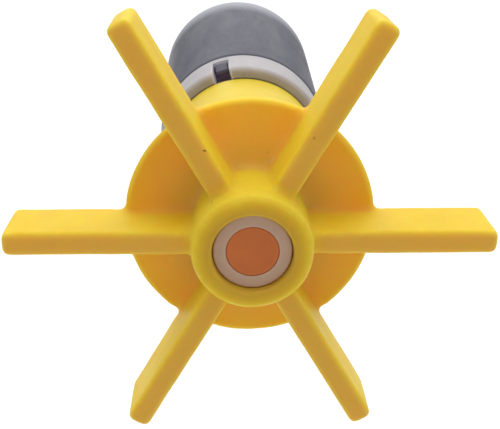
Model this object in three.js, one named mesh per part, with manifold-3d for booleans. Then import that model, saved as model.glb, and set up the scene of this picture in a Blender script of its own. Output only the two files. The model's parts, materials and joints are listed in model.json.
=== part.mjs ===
// Geared DC motor with a six-blade paddle wheel on its hollow output shaft.
// The shaft axis lies along Y: the wheel faces -Y, the motor is towards +Y, and +Z is up.
// Stations along the axis are measured backwards from the wheel hub's front face.
import * as THREE from 'three';
import { mergeVertices } from 'three/addons/utils/BufferGeometryUtils.js';
import Module from 'manifold-3d';

const wasm = await Module();
wasm.setup();

// Station of the frame's origin: the middle of the motor cover, on the axis.
const ORIGIN_STATION = 70;

// Gap between fixed neighbours, between a shaft and the hole it turns in, and of a tight seat.
const GAP = 0.3;
const RUN = 0.08;
const FIT = 0.15;

// How far a cutting tool reaches past the face it leaves by.
const PAST = 1;

// Sides used for visible round pieces, for inner round pieces and for small pins.
const SIDES = 40;
const SIDES_INNER = 24;
const SIDES_SMALL = 10;

// Paddle wheel.
const BLADES = 6;
const TIP_R = 30;
const BLADE_THICK = 2.9;
const BLADE_FRONT = 3.1;
const HUB_R = 7.3;
const DISC_R = 15.9;
const DISC_FRONT = 10.2;
const WHEEL_REAR = 11.9;
const HUB_EDGE = 0.8;

// Hollow output shaft.
const SHAFT_R = 4.75;
const SHAFT_BORE_R = 3.2;
const SHAFT_FRONT = 1.0;
const SHAFT_REAR = 28.2;
const SPINDLE_FRONT = 1.05;
const SHAFT_GROOVE_R = 4.2;
const CLIP_FRONT = 26.9;
const CLIP_THICK = 0.8;
const CLIP_R = 5.9;
const CLIP_PLAY = 0.1;
const CLIP_OPENING = 100;
const KEY_FRONT = 4;
const KEY_WIDTH = 1.6;
const KEY_LOW_R = 4.1;
const KEY_HIGH_R = 5.7;

// Gearbox nose and its two bushings.
const NOSE_FRONT = 12.8;
const NOSE_REAR = 39.2;
const NOSE_R = 11.7;
const NOSE_BORE_R = 10.4;
const SEAT_R = 6.6;
const BUSH_LENGTH = 4;
const BUSH_R = 6.4;
const FRONT_BUSH = 13.4;
const REAR_BUSH = 22.4;
const POCKET_R = 9.8;
const NOSE_EDGE = 0.5;
const NOSE_MOUTH_R = 5.25;
const BEARING_WALL_REAR = 26.7;
const CLIP_POCKET_R = 8.1;
const CLIP_POCKET_REAR = 28.4;
const WASHER_R = 8.5;
const WASHER_FRONT = 12.15;
const WASHER_REAR = 12.55;

// Planetary gear train: both stages share one internal ring gear.
const MODULE = 0.4;
const SUN_TEETH = 12;
const PLANET_TEETH = 15;
const RING_TEETH = 42;
const PLANETS = 3;
const ADDENDUM = 0.8;
const DEDENDUM = 1.15;
const TIP_SHARE = 0.2;
const ROOT_SHARE = 0.58;
const PIN_R = 0.9;
const CARRIER_R = 7.6;
const PLANET_WIDTH = 4.4;
const OUTPUT_PLATE_FRONT = 28.5;
const OUTPUT_PLATE_REAR = 30.3;
const OUTPUT_PIN_FRONT = 28.8;
const OUTPUT_STAGE = 30.9;
const OUTPUT_SUN_WIDTH = 5;
const SUN_ARBOR_R = 1.1;
const SUN_ARBOR_FRONT = 31.3;
const INPUT_PLATE_FRONT = 36.3;
const INPUT_PLATE_REAR = 38;
const INPUT_PIN_FRONT = 36.6;
const INPUT_STAGE = 38.6;
const PINION_WIDTH = 4.8;

// White ring-gear housing.
const RING_FRONT = 28.9;
const RING_SPIGOT_R = 10.1;
const RING_SHOULDER = 39.2;
const SKIRT_SEAT_R = 12;
const SKIRT_SEAT = 39.5;
const RING_REAR = 47.8;
const RING_R = 13.45;
const TEETH_REAR = 43.6;
const HEAD_ROOM_R = 9.6;
const PLATE_FRONT = 45.9;
const PLATE_THICK = 1.5;
const PLATE_R = 10.8;
const PLATE_HOLE_R = 1.4;
const PLATE_SCREW_AT = 6.5;
const PLATE_SCREW_HEAD_R = 1.9;
const PLATE_SCREW_R = 1.1;
const PLATE_SCREW_TOP = 44.3;
const PLATE_SCREW_END = 51;
const SCREW_SLOT_WIDTH = 0.6;
const SCREW_SLOT_DEPTH = 0.45;
const SLOT_WIDTH = 2.6;
const SLOT_FLOOR_R = 11.6;
const SLOT_ANGLE = 106;
const SLOT_REAR = 45.8;
const PIT_FLOOR_R = 10.5;
const PIT_REAR = 44.8;
const BRIDGE_R = 13.1;

// Motor.
const CAN_FRONT = 48.1;
const CAN_REAR = 77;
const CAN_R = 12.2;
const CAN_WALL = 0.8;
const CAN_END = 1;
const CAN_EDGE = 0.6;
const CAN_HOLE_R = 1.3;
const BOSS_R = 3;
const ROTOR_R = 1;
const ROTOR_FRONT = 38.3;
const ROTOR_REAR = 79.2;
const FRONT_BEARING = 47.5;
const REAR_BEARING = 75.8;
const BEARING_LENGTH = 2.9;
const POLES = 3;
const CORE_FRONT = 54.5;
const CORE_REAR = 68.5;
const CORE_R = 8.7;
const CORE_HUB_R = 2.8;
const NECK_HALF = 1.1;
const SHOE_IN_R = 7.4;
const SHOE_SPAN = 100;
const SHOE_STEPS = 8;
const COIL_IN_R = 3.4;
const COIL_OUT_R = 6;
const COIL_HALF = 2.3;
const COIL_THICK = 0.9;
const COIL_OVERHANG = 1.6;
const MAGNET_IN_R = 9.2;
const MAGNET_OUT_R = 11.1;
const MAGNET_SPAN = 140;
const MAGNET_FRONT = 51.5;
const MAGNET_REAR = 71.5;
const COMMUTATOR_FRONT = 70.9;
const COMMUTATOR_REAR = 75.2;
const COMMUTATOR_R = 2.7;
const BAR_GAP = 0.4;
const BAR_GAP_FLOOR_R = 1.9;
const BRUSH_IN_R = 2.95;
const BRUSH_OUT_R = 5.2;
const BRUSH_HALF = 0.9;
const BRUSH_FRONT = 71.6;
const BRUSH_REAR = 74.4;
const ARM_IN_R = 5.5;
const ARM_THICK = 0.4;
const ARM_HALF = 1.1;
const ARM_FRONT = 71.2;
const ARM_REAR = 77;
const BELL_BOSS_FRONT = 75.6;
const BELL_BOSS_WALL = 1.6;
const BELL_FRONT = 77.3;
const BELL_REAR = 79;
const TERMINAL_AT = 7;
const TERMINAL_WIDTH = 2.4;
const TERMINAL_THICK = 0.5;
const TERMINAL_FRONT = 77.4;
const TERMINAL_REAR = 84;
const TERMINAL_SLOT_SPARE = 0.4;
const CAPACITOR_WIDTH = 6;
const CAPACITOR_LOW = 2.2;
const CAPACITOR_HIGH = 4;
const CAPACITOR_FRONT = 80.4;
const CAPACITOR_REAR = 85.4;

// Snap latch of the motor cover, which reaches under the bridge into the ring housing's window.
const LATCH_WIDTH = 2;
const LATCH_LOW_R = 11.9;
const LATCH_ROOT_R = 12.5;
const LATCH_NECK_R = 12.95;
const LATCH_TOP_R = 13.3;
const LATCH_ROOT = 48.4;
const LATCH_STEP = 47.7;
const LATCH_CATCH = 45.5;
const LATCH_RAMP = 44.6;
const LATCH_TIP_R = 12.5;
const LATCH_TIP = 43.3;

// Motor cover and rear cap.
const COVER_FRONT = 48.1;
const COVER_REAR = 95;
const COVER_FRONT_R = 13.7;
const COVER_REAR_R = 15.1;
const COVER_WALL = 1.25;
const COVER_EDGE = 1.6;
const CAP_FRONT = 91.2;
const CAP_REAR = 93.8;
const CAP_R = 12.2;
const CAP_SEAT_R = 12.4;
const GLAND_R = 3.2;
const GLAND_BORE_R = 1.5;
const GLAND_FLANGE_R = 4.1;
const GLAND_TIP_R = 3.6;
const GLAND_FRONT = 89.6;
const GLAND_REAR = 96.4;
const GLAND_PLAY = 0.2;
const SCREW_CIRCLE_R = 9.6;
const CAP_HOLE_R = 1.2;
const CAP_SCREW_HEAD_R = 2;
const CAP_SCREW_R = 0.95;
const CAP_SCREW_TOP = 95.3;
const CAP_SCREW_END = 88;
const SCREW_HEAD_HEIGHT = 1.2;
const WIRE_R = 0.55;

const PITCH = Math.PI * MODULE;
const SUN_R = (MODULE * SUN_TEETH) / 2;
const PLANET_R = (MODULE * PLANET_TEETH) / 2;
const RING_PITCH_R = (MODULE * RING_TEETH) / 2;
const ORBIT_R = SUN_R + PLANET_R;

const along = (station) => station - ORIGIN_STATION;
const radians = (degrees) => (degrees * Math.PI) / 180;

function plastic(color, roughness) {
  return new THREE.MeshStandardMaterial({ color, roughness, metalness: 0 });
}

function metal(color, roughness) {
  return new THREE.MeshStandardMaterial({ color, roughness, metalness: 1 });
}

const LOOKS = {
  yellow: plastic(0xf2c521, 0.45),
  amber: plastic(0xb46a34, 0.5),
  white: plastic(0xe2ded8, 0.5),
  grey: plastic(0x75747f, 0.4),
  capGrey: plastic(0xa9a8b0, 0.45),
  black: plastic(0x1f1f22, 0.6),
  natural: plastic(0xd9d2be, 0.5),
  red: plastic(0xb3241c, 0.5),
  ceramic: plastic(0xb5651d, 0.5),
  steel: metal(0xb9bcc0, 0.3),
  zinc: metal(0x9fa3a8, 0.35),
  bronze: metal(0xa9773f, 0.4),
  brass: metal(0xc9a24b, 0.3),
  copper: metal(0xb4643a, 0.35),
  magnet: metal(0x3b3b40, 0.6),
  carbon: metal(0x2b2b2d, 0.7),
};

// ---- shape helpers -------------------------------------------------------

// Closed solid made by turning a closed outline of [radius, station] points about the axis.
function turned(outline, sides) {
  const points = outline.map(([radius, station]) => new THREE.Vector2(radius, along(station)));
  if (THREE.ShapeUtils.area(points) < 0) points.reverse();
  const first = points[0];
  const last = points[points.length - 1];
  const onAxis = first.x === 0 && last.x === 0;
  if (!onAxis) points.push(first.clone());
  return new THREE.LatheGeometry(points, sides);
}

// Ring or tube between two radii and two stations.
function tube(inner, outer, front, rear, sides) {
  return turned([[inner, front], [outer, front], [outer, rear], [inner, rear]], sides);
}

function rod(radius, front, rear, sides) {
  return turned([[0, front], [radius, front], [radius, rear], [0, rear]], sides);
}

// Prism of a flat outline, drawn in X and Z, between two stations.
function prism(shape, front, rear) {
  const depth = rear - front;
  const geometry = new THREE.ExtrudeGeometry(shape, { depth, bevelEnabled: false, curveSegments: 8 });
  return geometry.rotateX(Math.PI / 2).translate(0, along(rear), 0);
}

// Block from x0 to x1, z0 to z1 and between two stations, turned about the axis.
function block(x0, x1, z0, z1, front, rear, angle = 0) {
  const geometry = new THREE.BoxGeometry(x1 - x0, rear - front, z1 - z0);
  geometry.translate((x0 + x1) / 2, along((front + rear) / 2), (z0 + z1) / 2);
  return geometry.rotateY(-angle);
}

function outline(points) {
  return new THREE.Shape(points.map(([x, z]) => new THREE.Vector2(x, z)));
}

function polar(radius, angle) {
  return [radius * Math.cos(angle), radius * Math.sin(angle)];
}

function solid(geometry) {
  const bare = geometry.clone();
  bare.deleteAttribute('normal');
  bare.deleteAttribute('uv');
  const merged = mergeVertices(bare, 1e-4);
  const triVerts = new Uint32Array(merged.index.array);
  const vertProperties = new Float32Array(merged.attributes.position.array);
  return new wasm.Manifold(new wasm.Mesh({ numProp: 3, vertProperties, triVerts }));
}

function geometryOf(manifold) {
  const mesh = manifold.getMesh();
  const geometry = new THREE.BufferGeometry();
  geometry.setAttribute('position', new THREE.BufferAttribute(mesh.vertProperties, 3));
  geometry.setIndex(new THREE.BufferAttribute(mesh.triVerts, 1));
  geometry.computeVertexNormals();
  return geometry;
}

function joined(geometries) {
  return geometryOf(geometries.map(solid).reduce((whole, part) => whole.add(part)));
}

function cut(geometry, tools) {
  return geometryOf(tools.map(solid).reduce((whole, tool) => whole.subtract(tool), solid(geometry)));
}

function piece(name, geometry, look) {
  const mesh = new THREE.Mesh(geometry, look.clone());
  mesh.name = name;
  return mesh;
}

// ---- gear outlines -------------------------------------------------------

// Four corners a tooth: root, tip, tip, root. An internal gear has inner tips and outer roots.
function gearOutline(teeth, internal) {
  const pitchR = (MODULE * teeth) / 2;
  const side = internal ? -1 : 1;
  const tipR = pitchR + side * ADDENDUM * MODULE;
  const rootR = pitchR - side * DEDENDUM * MODULE;
  const tipHalf = (TIP_SHARE * PITCH) / 2 / pitchR;
  const rootHalf = (ROOT_SHARE * PITCH) / 2 / pitchR;
  const points = [];
  for (let tooth = 0; tooth < teeth; tooth += 1) {
    const middle = (2 * Math.PI * tooth) / teeth;
    points.push(polar(rootR, middle - rootHalf), polar(tipR, middle - tipHalf));
    points.push(polar(tipR, middle + tipHalf), polar(rootR, middle + rootHalf));
  }
  return outline(points);
}

function boredGear(teeth, boreR, width) {
  const shape = gearOutline(teeth, false);
  shape.holes.push(new THREE.Path().absarc(0, 0, boreR, 0, 2 * Math.PI, true));
  return prism(shape, ORIGIN_STATION, ORIGIN_STATION + width);
}

// Turn that puts a planet's tooth gap on the sun's tooth along the line of centres.
function planetTurn(place) {
  return place + Math.PI + (SUN_R * place + PITCH / 2) / PLANET_R;
}

// Turn of the ring gear that puts its teeth in the gaps of the planet at angle zero.
function ringTurn() {
  return (PITCH / 2 + PLANET_R * planetTurn(0)) / RING_PITCH_R;
}

// ---- output side ---------------------------------------------------------

function paddleWheel() {
  const boreR = SHAFT_R + GAP;
  const hub = turned([
    [boreR, 0], [HUB_R - HUB_EDGE, 0], [HUB_R, HUB_EDGE],
    [HUB_R, WHEEL_REAR], [boreR, WHEEL_REAR],
  ], SIDES);
  const disc = tube(boreR, DISC_R, DISC_FRONT, WHEEL_REAR, SIDES);
  const half = BLADE_THICK / 2;
  const blades = [];
  for (let index = 0; index < BLADES; index += 1) {
    const angle = (2 * Math.PI * index) / BLADES;
    blades.push(block(boreR + GAP, TIP_R, -half, half, BLADE_FRONT, WHEEL_REAR, angle));
  }
  const keyHalf = KEY_WIDTH / 2 + GAP;
  const keyway = block(-keyHalf, keyHalf, -KEY_HIGH_R - GAP, 0, KEY_FRONT - GAP, WHEEL_REAR + PAST);
  return cut(joined([hub, disc, ...blades]), [keyway]);
}

function driveKey() {
  const half = KEY_WIDTH / 2;
  return block(-half, half, -KEY_HIGH_R, -KEY_LOW_R, KEY_FRONT, WHEEL_REAR - GAP);
}

function outputShaft() {
  const clipRear = CLIP_FRONT + CLIP_THICK;
  const blank = turned([
    [SHAFT_BORE_R, SHAFT_FRONT], [SHAFT_R, SHAFT_FRONT],
    [SHAFT_R, CLIP_FRONT - CLIP_PLAY], [SHAFT_GROOVE_R, CLIP_FRONT - CLIP_PLAY],
    [SHAFT_GROOVE_R, clipRear + CLIP_PLAY], [SHAFT_R, clipRear + CLIP_PLAY],
    [SHAFT_R, SHAFT_REAR], [SHAFT_BORE_R, SHAFT_REAR],
  ], SIDES);
  const half = KEY_WIDTH / 2 + CLIP_PLAY;
  const floor = -KEY_LOW_R + CLIP_PLAY;
  const keyway = block(-half, half, -SHAFT_R - PAST, floor, KEY_FRONT - CLIP_PLAY, WHEEL_REAR);
  return cut(blank, [keyway]);
}

// Open spring ring in the shaft's groove.
function shaftClip() {
  const inner = SHAFT_GROOVE_R + FIT;
  const open = radians(CLIP_OPENING / 2);
  const shape = new THREE.Shape();
  shape.absarc(0, 0, CLIP_R, open, 2 * Math.PI - open, false);
  shape.absarc(0, 0, inner, 2 * Math.PI - open, open, true);
  return prism(shape, CLIP_FRONT, CLIP_FRONT + CLIP_THICK);
}

// Spindle that fills the hollow shaft to just inside its mouth, with the planets' plate behind it.
function outputCarrier() {
  const spindleR = SHAFT_BORE_R - FIT;
  const plate = turned([
    [0, SPINDLE_FRONT], [spindleR, SPINDLE_FRONT], [spindleR, OUTPUT_PLATE_FRONT],
    [CARRIER_R, OUTPUT_PLATE_FRONT], [CARRIER_R, OUTPUT_PLATE_REAR], [0, OUTPUT_PLATE_REAR],
  ], SIDES_INNER);
  return cut(plate, pinHoles(OUTPUT_PIN_FRONT - GAP, OUTPUT_PLATE_REAR + PAST));
}

function pinHoles(front, rear) {
  const holes = [];
  for (let index = 0; index < PLANETS; index += 1) {
    const [x, z] = polar(ORBIT_R, (2 * Math.PI * index) / PLANETS);
    holes.push(rod(PIN_R + FIT, front, rear, SIDES_SMALL).translate(x, 0, z));
  }
  return holes;
}

function inputCarrier() {
  const plate = turned([
    [0, SUN_ARBOR_FRONT], [SUN_ARBOR_R, SUN_ARBOR_FRONT], [SUN_ARBOR_R, INPUT_PLATE_FRONT],
    [CARRIER_R, INPUT_PLATE_FRONT], [CARRIER_R, INPUT_PLATE_REAR], [0, INPUT_PLATE_REAR],
  ], SIDES_INNER);
  return cut(plate, pinHoles(INPUT_PIN_FRONT - GAP, INPUT_PLATE_REAR + PAST));
}

// Planets and their pins for one stage, named by stage and place.
function planetSet(stage, front, pinFront) {
  const set = [];
  for (let index = 0; index < PLANETS; index += 1) {
    const place = (2 * Math.PI * index) / PLANETS;
    const [x, z] = polar(ORBIT_R, place);
    const toothed = boredGear(PLANET_TEETH, PIN_R + RUN, PLANET_WIDTH);
    const gear = piece(`${stage}_planet_${index + 1}`, toothed, LOOKS.natural);
    gear.position.set(x, along(front), z);
    gear.rotation.y = -planetTurn(place);
    const stem = rod(PIN_R, pinFront, front + PLANET_WIDTH, SIDES_SMALL);
    const pin = piece(`${stage}_planet_pin_${index + 1}`, stem, LOOKS.steel);
    pin.position.set(x, 0, z);
    set.push(gear, pin);
  }
  return set;
}

// ---- fixed gearbox -------------------------------------------------------

function gearboxNose() {
  const frontSeat = FRONT_BUSH - FIT;
  const frontSeatEnd = FRONT_BUSH + BUSH_LENGTH + GAP;
  const rearSeat = REAR_BUSH - GAP;
  return turned([
    [NOSE_MOUTH_R, NOSE_FRONT], [NOSE_R - NOSE_EDGE, NOSE_FRONT], [NOSE_R, NOSE_FRONT + NOSE_EDGE],
    [NOSE_R, NOSE_REAR], [NOSE_BORE_R, NOSE_REAR], [NOSE_BORE_R, CLIP_POCKET_REAR],
    [CLIP_POCKET_R, CLIP_POCKET_REAR], [CLIP_POCKET_R, BEARING_WALL_REAR],
    [SEAT_R, BEARING_WALL_REAR], [SEAT_R, rearSeat], [POCKET_R, rearSeat],
    [POCKET_R, frontSeatEnd], [SEAT_R, frontSeatEnd], [SEAT_R, frontSeat],
    [NOSE_MOUTH_R, frontSeat],
  ], SIDES);
}

function shaftBush(front) {
  return tube(SHAFT_R + RUN, BUSH_R, front, front + BUSH_LENGTH, SIDES);
}

function thrustWasher() {
  return tube(SHAFT_R + GAP, WASHER_R, WASHER_FRONT, WASHER_REAR, SIDES_INNER);
}

function ringGearHousing() {
  const body = turned([
    [0, RING_FRONT], [RING_SPIGOT_R, RING_FRONT], [RING_SPIGOT_R, SKIRT_SEAT],
    [SKIRT_SEAT_R, SKIRT_SEAT], [SKIRT_SEAT_R, RING_SHOULDER],
    [RING_R, RING_SHOULDER], [RING_R, RING_REAR], [PLATE_R + GAP, RING_REAR],
    [PLATE_R + GAP, PLATE_FRONT - GAP], [HEAD_ROOM_R, PLATE_FRONT - GAP],
    [HEAD_ROOM_R, TEETH_REAR], [0, TEETH_REAR],
  ], SIDES);
  const bore = prism(gearOutline(RING_TEETH, true), RING_FRONT - PAST, TEETH_REAR + PAST);
  bore.rotateY(-ringTurn());
  const half = SLOT_WIDTH / 2;
  const angle = radians(SLOT_ANGLE);
  const slot = block(SLOT_FLOOR_R, RING_R + PAST, -half, half, RING_SHOULDER - PAST, SLOT_REAR, angle);
  const pit = block(PIT_FLOOR_R, RING_R, -half, half, RING_SHOULDER - PAST, PIT_REAR, angle);
  const underBridge = block(SLOT_FLOOR_R, BRIDGE_R, -half, half, SLOT_REAR - PAST, RING_REAR + PAST, angle);
  return cut(body, [bore, slot, pit, underBridge]);
}

function motorPlate() {
  const rear = PLATE_FRONT + PLATE_THICK;
  const plate = tube(BOSS_R + GAP, PLATE_R, PLATE_FRONT, rear, SIDES_INNER);
  const holes = [-1, 1].map((side) => (
    rod(PLATE_HOLE_R, PLATE_FRONT - PAST, rear + PAST, SIDES_SMALL).translate(0, 0, side * PLATE_SCREW_AT)
  ));
  return cut(plate, holes);
}

// Flat-headed screw with a straight driver slot. Its top may face either way.
function screw(headR, stemR, top, end) {
  const way = Math.sign(end - top);
  const base = top + way * SCREW_HEAD_HEIGHT;
  const body = turned([
    [0, top], [headR, top], [headR, base], [stemR, base], [stemR, end], [0, end],
  ], SIDES_SMALL * 2);
  const slotEnds = [top - way * PAST, top + way * SCREW_SLOT_DEPTH];
  const half = SCREW_SLOT_WIDTH / 2;
  const slot = block(-headR - PAST, headR + PAST, -half, half, Math.min(...slotEnds), Math.max(...slotEnds));
  return cut(body, [slot]);
}

// ---- motor ---------------------------------------------------------------

function motorCan() {
  const inner = CAN_R - CAN_WALL;
  const floor = CAN_FRONT + CAN_END;
  const can = turned([
    [BOSS_R + FIT, CAN_FRONT], [CAN_R - CAN_EDGE, CAN_FRONT], [CAN_R, CAN_FRONT + CAN_EDGE],
    [CAN_R, CAN_REAR], [inner, CAN_REAR], [inner, floor], [BOSS_R + FIT, floor],
  ], SIDES);
  const holes = [-1, 1].map((side) => (
    rod(CAN_HOLE_R, CAN_FRONT - PAST, floor + PAST, SIDES_SMALL).translate(0, 0, side * PLATE_SCREW_AT)
  ));
  return cut(can, holes);
}

function rotorBush(front) {
  return tube(ROTOR_R + RUN, BOSS_R, front, front + BEARING_LENGTH, SIDES_INNER);
}

function magnet(middle) {
  const half = radians(MAGNET_SPAN / 2);
  const shape = new THREE.Shape();
  shape.absarc(0, 0, MAGNET_OUT_R, middle - half, middle + half, false);
  shape.absarc(0, 0, MAGNET_IN_R, middle + half, middle - half, true);
  return prism(shape, MAGNET_FRONT, MAGNET_REAR);
}

// Three mushroom-shaped poles around a round hub.
function armatureCore() {
  const points = [];
  const shoeHalf = radians(SHOE_SPAN / 2);
  for (let pole = 0; pole < POLES; pole += 1) {
    const middle = (2 * Math.PI * pole) / POLES;
    const neckAt = (radius, side) => polar(radius, middle + side * Math.asin(NECK_HALF / radius));
    points.push(neckAt(CORE_HUB_R, -1), neckAt(SHOE_IN_R, -1), polar(SHOE_IN_R, middle - shoeHalf));
    for (let step = 0; step <= SHOE_STEPS; step += 1) {
      points.push(polar(CORE_R, middle - shoeHalf + (2 * shoeHalf * step) / SHOE_STEPS));
    }
    points.push(polar(SHOE_IN_R, middle + shoeHalf), neckAt(SHOE_IN_R, 1), neckAt(CORE_HUB_R, 1));
  }
  const shape = outline(points);
  shape.holes.push(new THREE.Path().absarc(0, 0, ROTOR_R + FIT, 0, 2 * Math.PI, true));
  return prism(shape, CORE_FRONT, CORE_REAR);
}

// Coil of wire around one pole's neck, as a closed rectangular loop.
function winding(angle) {
  const half = COIL_HALF - COIL_THICK;
  const front = CORE_FRONT - COIL_OVERHANG;
  const rear = CORE_REAR + COIL_OVERHANG;
  const outer = block(COIL_IN_R, COIL_OUT_R, -COIL_HALF, COIL_HALF, front, rear, angle);
  const inner = block(0, CORE_R, -half, half, CORE_FRONT - GAP, CORE_REAR + GAP, angle);
  return cut(outer, [inner]);
}

function commutator() {
  const barrel = tube(ROTOR_R + FIT, COMMUTATOR_R, COMMUTATOR_FRONT, COMMUTATOR_REAR, SIDES_INNER);
  const front = COMMUTATOR_FRONT - PAST;
  const rear = COMMUTATOR_REAR + PAST;
  const slots = [];
  for (let index = 0; index < POLES; index += 1) {
    const angle = (2 * Math.PI * (index + 0.5)) / POLES;
    slots.push(block(BAR_GAP_FLOOR_R, COMMUTATOR_R + PAST, -BAR_GAP / 2, BAR_GAP / 2, front, rear, angle));
  }
  return cut(barrel, slots);
}

function endBell() {
  const inner = BOSS_R + FIT;
  const bossR = BOSS_R + BELL_BOSS_WALL;
  const bell = turned([
    [inner, BELL_BOSS_FRONT], [bossR, BELL_BOSS_FRONT], [bossR, BELL_FRONT],
    [CAN_R, BELL_FRONT], [CAN_R, BELL_REAR], [inner, BELL_REAR],
  ], SIDES);
  const slots = [-1, 1].map((side) => (
    blade(side, TERMINAL_SLOT_SPARE, BELL_FRONT - PAST, BELL_REAR + PAST)
  ));
  return cut(bell, slots);
}

// Flat strip standing at a terminal's place, larger than the terminal by a margin all round.
function blade(side, margin, front, rear) {
  const middle = side * TERMINAL_AT;
  const half = TERMINAL_WIDTH / 2 + margin;
  const thick = TERMINAL_THICK / 2 + margin;
  return block(middle - half, middle + half, -thick, thick, front, rear);
}

function terminal(side) {
  return blade(side, 0, TERMINAL_FRONT, TERMINAL_REAR);
}

function facing(side) {
  return side > 0 ? 0 : Math.PI;
}

function brush(side) {
  return block(BRUSH_IN_R, BRUSH_OUT_R, -BRUSH_HALF, BRUSH_HALF, BRUSH_FRONT, BRUSH_REAR, facing(side));
}

function brushArm(side) {
  const outer = ARM_IN_R + ARM_THICK;
  return block(ARM_IN_R, outer, -ARM_HALF, ARM_HALF, ARM_FRONT, ARM_REAR, facing(side));
}

// ---- motor cover and rear end --------------------------------------------

// Ramped hook that snaps behind the ring housing's bridge, drawn in side view and given a width.
function latch() {
  const profile = outline([
    [LATCH_ROOT_R, LATCH_ROOT], [LATCH_NECK_R, LATCH_ROOT], [LATCH_NECK_R, LATCH_CATCH],
    [LATCH_TOP_R, LATCH_CATCH], [LATCH_TOP_R, LATCH_RAMP], [LATCH_TIP_R, LATCH_TIP],
    [LATCH_LOW_R, LATCH_TIP], [LATCH_LOW_R, LATCH_STEP], [LATCH_ROOT_R, LATCH_STEP],
  ]);
  const geometry = new THREE.ExtrudeGeometry(profile, { depth: LATCH_WIDTH, bevelEnabled: false });
  geometry.translate(0, -ORIGIN_STATION, -LATCH_WIDTH / 2);
  return geometry.rotateY(-radians(SLOT_ANGLE));
}

function motorCover() {
  const lipRear = CAP_FRONT - GAP;
  const shell = turned([
    [COVER_FRONT_R - COVER_WALL, COVER_FRONT], [COVER_FRONT_R, COVER_FRONT],
    [COVER_REAR_R, COVER_REAR - COVER_EDGE],
    [COVER_REAR_R - COVER_EDGE * 0.3, COVER_REAR - COVER_EDGE * 0.3],
    [COVER_REAR_R - COVER_EDGE, COVER_REAR],
    [CAP_SEAT_R, COVER_REAR], [CAP_SEAT_R, lipRear], [COVER_FRONT_R - COVER_WALL, lipRear],
  ], SIDES);
  return joined([shell, latch()]);
}

function rearCap() {
  const cap = tube(GLAND_R + GLAND_PLAY, CAP_R, CAP_FRONT, CAP_REAR, SIDES);
  const holes = screwPlaces().map(([x, z]) => (
    rod(CAP_HOLE_R, CAP_FRONT - PAST, CAP_REAR + PAST, SIDES_SMALL).translate(x, 0, z)
  ));
  return cut(cap, holes);
}

function screwPlaces() {
  return [90, 210, 330].map((degrees) => polar(SCREW_CIRCLE_R, radians(degrees)));
}

function cordGland() {
  const innerLip = CAP_FRONT - GLAND_PLAY;
  const outerLip = CAP_REAR + GLAND_PLAY;
  return turned([
    [GLAND_BORE_R, GLAND_FRONT], [GLAND_FLANGE_R, GLAND_FRONT], [GLAND_FLANGE_R, innerLip],
    [GLAND_R, innerLip], [GLAND_R, outerLip], [GLAND_FLANGE_R, outerLip],
    [GLAND_TIP_R, GLAND_REAR], [GLAND_BORE_R, GLAND_REAR],
  ], SIDES_INNER);
}

// Insulated wire from a motor terminal to the gland's inner mouth.
function lead(side) {
  const curve = new THREE.CatmullRomCurve3([
    new THREE.Vector3(side * TERMINAL_AT, along(TERMINAL_REAR + 0.4), 0),
    new THREE.Vector3(side * 6, along(TERMINAL_REAR + 2.4), 1),
    new THREE.Vector3(side * 2.4, along(GLAND_FRONT - 2), 0.5),
    new THREE.Vector3(side * 0.65, along(GLAND_FRONT - 0.4), 0),
  ]);
  const section = new THREE.Shape().absarc(0, 0, WIRE_R, 0, 2 * Math.PI, false);
  return new THREE.ExtrudeGeometry(section, { steps: 10, curveSegments: 4, extrudePath: curve });
}

function capacitor() {
  const half = CAPACITOR_WIDTH / 2;
  return block(-half, half, CAPACITOR_LOW, CAPACITOR_HIGH, CAPACITOR_FRONT, CAPACITOR_REAR);
}

// ---- assembly ------------------------------------------------------------

const group = new THREE.Group();

group.add(
  piece('paddle_wheel', paddleWheel(), LOOKS.yellow),
  piece('drive_key', driveKey(), LOOKS.steel),
  piece('output_shaft', outputShaft(), LOOKS.white),
  piece('shaft_clip', shaftClip(), LOOKS.steel),
  piece('output_carrier', outputCarrier(), LOOKS.amber),
  ...planetSet('output', OUTPUT_STAGE, OUTPUT_PIN_FRONT),
);

group.add(
  piece('input_carrier', inputCarrier(), LOOKS.steel),
  ...planetSet('input', INPUT_STAGE, INPUT_PIN_FRONT),
);

const sunGear = boredGear(SUN_TEETH, SUN_ARBOR_R + FIT, OUTPUT_SUN_WIDTH);
const outputSun = piece('output_sun_gear', sunGear, LOOKS.brass);
outputSun.position.y = along(OUTPUT_STAGE);
const pinionGear = boredGear(SUN_TEETH, ROTOR_R + FIT, PINION_WIDTH);
const motorPinion = piece('motor_pinion', pinionGear, LOOKS.brass);
motorPinion.position.y = along(INPUT_STAGE);
group.add(outputSun, motorPinion);

group.add(
  piece('thrust_washer', thrustWasher(), LOOKS.steel),
  piece('gearbox_nose', gearboxNose(), LOOKS.yellow),
  piece('front_bushing', shaftBush(FRONT_BUSH), LOOKS.bronze),
  piece('rear_bushing', shaftBush(REAR_BUSH), LOOKS.bronze),
  piece('ring_gear_housing', ringGearHousing(), LOOKS.white),
  piece('motor_plate', motorPlate(), LOOKS.zinc),
);

[-1, 1].forEach((side, index) => {
  const stem = screw(PLATE_SCREW_HEAD_R, PLATE_SCREW_R, PLATE_SCREW_TOP, PLATE_SCREW_END);
  const plateScrew = piece(`plate_screw_${index + 1}`, stem, LOOKS.steel);
  plateScrew.position.z = side * PLATE_SCREW_AT;
  group.add(plateScrew);
});

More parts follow.
